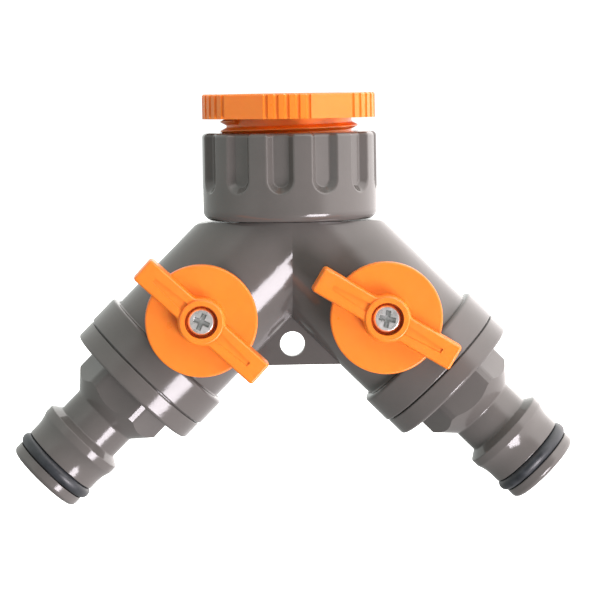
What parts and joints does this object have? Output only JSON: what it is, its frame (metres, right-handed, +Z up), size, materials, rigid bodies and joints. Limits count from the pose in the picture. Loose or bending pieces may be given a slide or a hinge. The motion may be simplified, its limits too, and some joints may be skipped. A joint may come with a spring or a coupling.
{
  "type": "hose splitter",
  "caption": "Y-shaped garden tap splitter with a threaded reducer and swivel nut on top, and a quarter-turn ball valve and push-on hose nipple on each 45 degree arm.",
  "frame": {"origin": "centre of the tap socket's mouth, on the top face of the threaded adapter", "axes": "+Z up along the inlet axis, +X towards the right outlet arm seen from the front, -Y towards the valve handles"},
  "size_m": [0.1078, 0.0377, 0.0789],
  "materials": {
    "grey_plastic": "warm grey moulded ABS, semi-gloss",
    "orange_plastic": "bright orange moulded plastic, satin to semi-gloss",
    "black_rubber": "black nitrile rubber, slightly greased sheen",
    "white_acetal": "natural white acetal",
    "screw_steel": "nickel plated steel"
  },
  "bodies": {
    "tap_side": {"thread_adapter": "orange_plastic", "adapter_washer": "black_rubber"},
    "inlet_washer": {"inlet_washer": "black_rubber"},
    "swivel_nut": {"swivel_nut": "grey_plastic"},
    "manifold": {"manifold_body": "grey_plastic", "inlet_spigot": "grey_plastic", "inlet_spigot_oring": "black_rubber", "left_outlet_nipple": "grey_plastic", "left_nipple_oring": "black_rubber", "left_flange_seal": "black_rubber", "left_inner_seat": "white_acetal", "left_outer_seat": "white_acetal", "right_outlet_nipple": "grey_plastic", "right_nipple_oring": "black_rubber", "right_flange_seal": "black_rubber", "right_inner_seat": "white_acetal", "right_outer_seat": "white_acetal"},
    "left_valve": {"left_handle": "orange_plastic", "left_handle_screw": "screw_steel", "left_stem": "white_acetal", "left_stem_orings": "black_rubber", "left_ball": "white_acetal"},
    "right_valve": {"right_handle": "orange_plastic", "right_handle_screw": "screw_steel", "right_stem": "white_acetal", "right_stem_orings": "black_rubber", "right_ball": "white_acetal"}
  },
  "joints": [
    {"name": "nut_turn", "type": "hinge", "parent": "tap_side", "child": "inlet_washer", "pos_m": [0, 0, -0.0113], "axis": [0, 0, -1], "range_deg": [0, 1980]},
    {"name": "nut_travel", "type": "slide", "parent": "inlet_washer", "child": "swivel_nut", "axis": [0, 0, -1], "range_m": [0, 0.01]},
    {"name": "body_swivel", "type": "hinge", "parent": "swivel_nut", "child": "manifold", "pos_m": [0, 0, -0.0226], "axis": [0, 0, 1], "continuous": true},
    {"name": "left_valve_turn", "type": "hinge", "parent": "manifold", "child": "left_valve", "pos_m": [-0.01743, 0, -0.04243], "axis": [0, -1, 0], "range_deg": [-2.1, 87.9]},
    {"name": "right_valve_turn", "type": "hinge", "parent": "manifold", "child": "right_valve", "pos_m": [0.01743, 0, -0.04243], "axis": [0, -1, 0], "range_deg": [-13.7, 76.3]}
  ],
  "couplings": [
    {"joint": "nut_travel", "follows": "nut_turn", "m_per_rad": 0.00028871}
  ]
}
